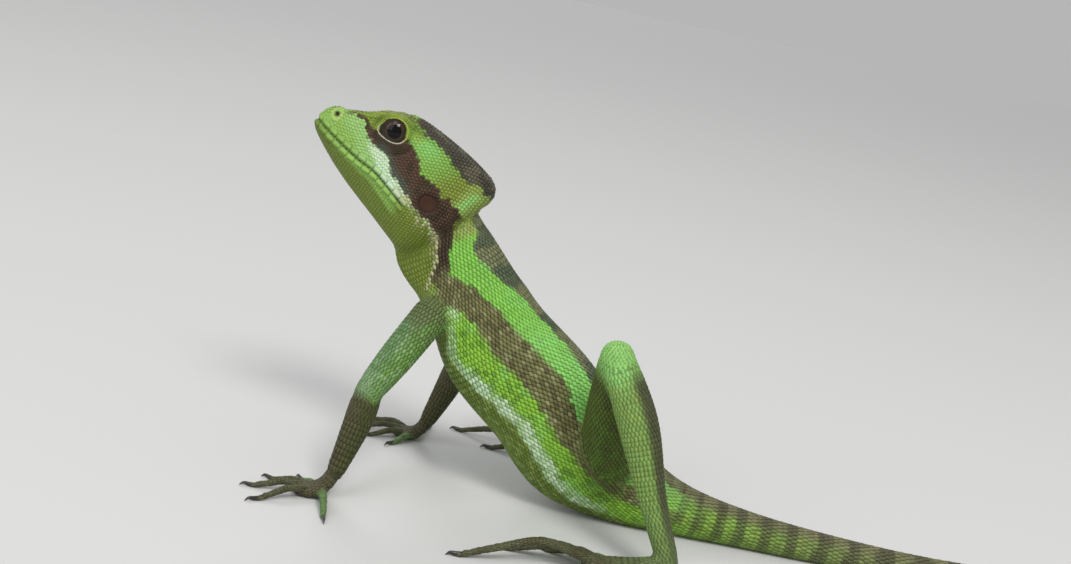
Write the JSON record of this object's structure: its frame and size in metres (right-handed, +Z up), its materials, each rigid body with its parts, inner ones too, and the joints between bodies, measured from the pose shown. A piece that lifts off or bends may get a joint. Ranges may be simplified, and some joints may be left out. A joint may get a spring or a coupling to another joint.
{
  "type": "casquehead lizard",
  "caption": "Slender green casquehead lizard at life size, front raised on straight arms, hind legs folded, long thin tail laid along the floor.",
  "frame": {"origin": "on the floor, under the middle of the whole animal's bounding box", "axes": "+Z up; the head points along -X and the tail along +X; the animal's left side faces -Y"},
  "size_m": [0.4348, 0.0996, 0.0902],
  "materials": {
    "head": "dry scaled skin, satin",
    "trunk": "dry scaled skin, satin",
    "limb": "dry scaled skin, satin",
    "tail": "dry scaled skin, satin",
    "eye": "wet, glossy",
    "eardrum": "smooth skin",
    "claw": "horn, satin"
  },
  "bodies": {
    "root": {"head": "head", "eye_left": "eye", "eardrum_left": "eardrum", "eye_right": "eye", "eardrum_right": "eardrum", "neck": "trunk", "torso": "trunk", "tail_1": "tail", "tail_2": "tail", "tail_3": "tail", "tail_4": "tail", "tail_5": "tail", "upper_arm_left": "limb", "forearm_left": "limb", "hand_left": "limb", "claw_hand_left_1": "claw", "claw_hand_left_2": "claw", "claw_hand_left_3": "claw", "claw_hand_left_4": "claw", "claw_hand_left_5": "claw", "upper_arm_right": "limb", "forearm_right": "limb", "hand_right": "limb", "claw_hand_right_1": "claw", "claw_hand_right_2": "claw", "claw_hand_right_3": "claw", "claw_hand_right_4": "claw", "claw_hand_right_5": "claw", "thigh_left": "limb", "shank_left": "limb", "foot_left": "limb", "claw_foot_left_1": "claw", "claw_foot_left_2": "claw", "claw_foot_left_3": "claw", "claw_foot_left_4": "claw", "claw_foot_left_5": "claw", "thigh_right": "limb", "shank_right": "limb", "foot_right": "limb", "claw_foot_right_1": "claw", "claw_foot_right_2": "claw", "claw_foot_right_3": "claw", "claw_foot_right_4": "claw", "claw_foot_right_5": "claw"}
  },
  "joints": []
}
